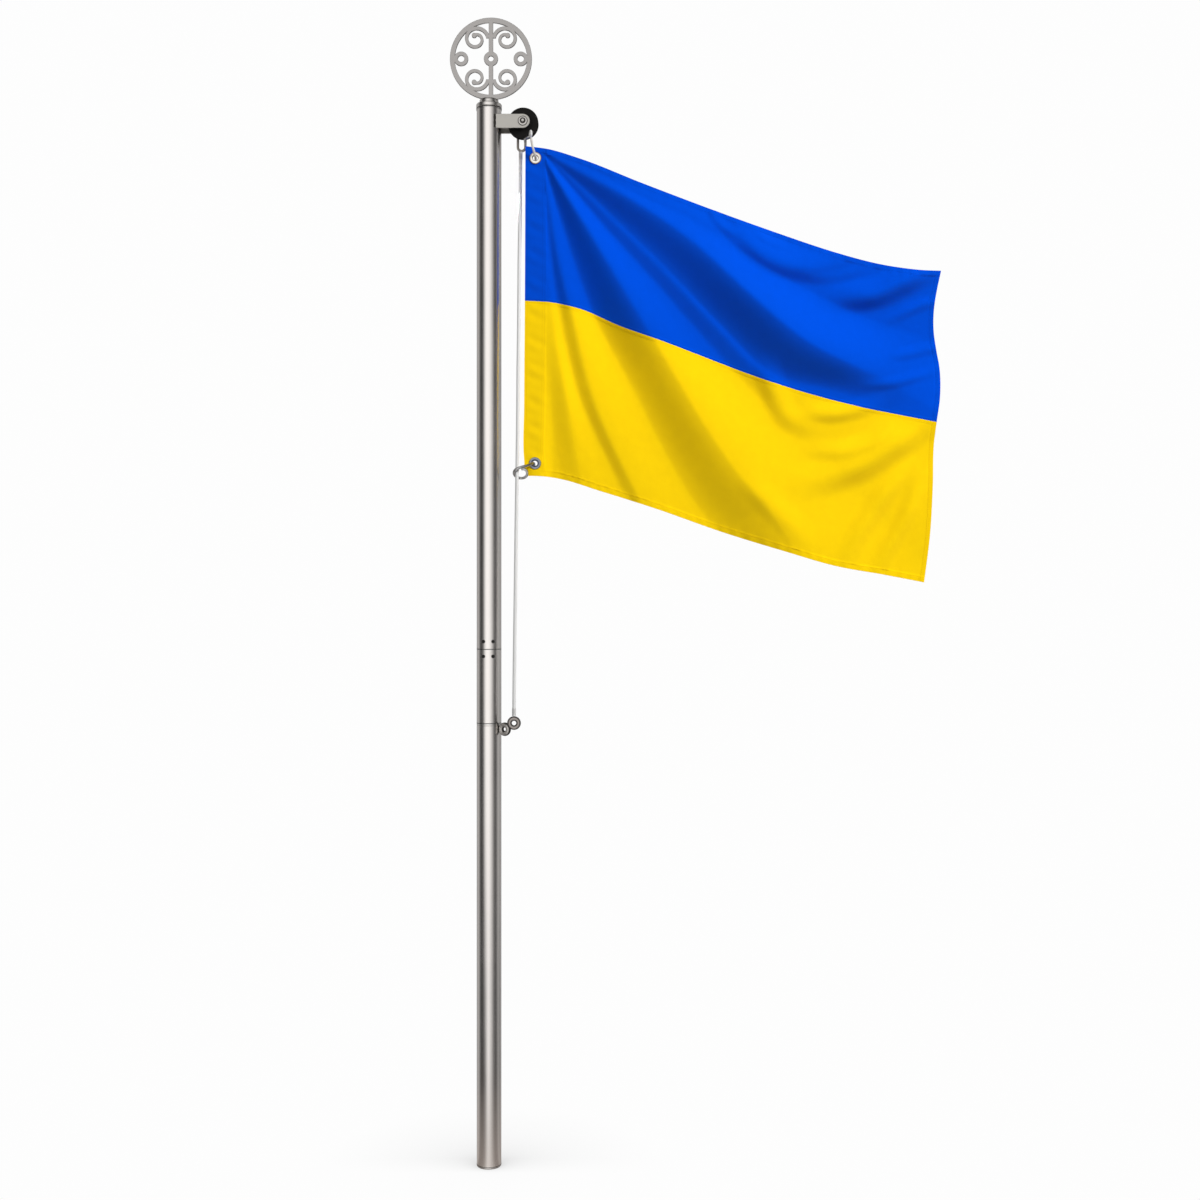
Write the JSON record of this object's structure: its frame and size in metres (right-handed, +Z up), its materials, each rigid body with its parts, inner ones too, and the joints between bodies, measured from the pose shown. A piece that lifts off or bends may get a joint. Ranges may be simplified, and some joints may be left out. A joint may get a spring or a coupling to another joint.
{
  "type": "flagpole with flag",
  "caption": "Slim steel flagpole with ring finial, side pulley, halyard and a blue over yellow flag.",
  "frame": {"origin": "centre of the pole's bottom face", "axes": "+Z up along the pole, +X towards the fly end of the flag, +Y to the back"},
  "size_m": [0.8985, 0.0719, 2.0995],
  "materials": {
    "steel": "brushed",
    "dark_steel": "tumbled",
    "satin_steel": "satin",
    "black_plastic": "moulded",
    "white_rope": "braided",
    "brass": "plated",
    "blue_cloth": "satin weave",
    "yellow_cloth": "satin weave"
  },
  "bodies": {
    "pole": {"base_plug": "dark_steel", "lower_tube": "steel", "seam_band": "steel", "lower_sleeve": "dark_steel", "middle_tube": "steel", "upper_sleeve": "dark_steel", "joint_screws_low": "dark_steel", "joint_screws_high": "dark_steel", "upper_tube": "steel", "top_collar": "steel", "finial_neck": "steel", "finial_plate": "satin_steel", "cheek_front": "steel", "cheek_rear": "steel", "axle_bolt": "steel", "axle_nut": "steel", "washer_front": "steel", "washer_rear": "steel", "spacer_front": "steel", "spacer_rear": "steel", "becket_link": "dark_steel", "halyard": "white_rope", "ferrule_top": "white_rope", "ferrule_bottom": "white_rope", "tie_ring": "dark_steel", "eye_ring": "dark_steel", "top_clip_strap": "steel", "top_clip_eye": "steel", "top_clip_hook": "brass", "low_clip_rings": "dark_steel", "low_clip_hook": "dark_steel", "grommet_top": "brass", "grommet_low": "steel", "flag_header": "blue_cloth", "flag_blue": "blue_cloth", "flag_yellow": "yellow_cloth"},
    "pulley": {"pulley_wheel": "black_plastic"}
  },
  "joints": [
    {"name": "pulley_spin", "type": "hinge", "parent": "pole", "child": "pulley", "pos_m": [0.0625, 0, 1.9058], "axis": [0, 1, 0], "continuous": true}
  ]
}
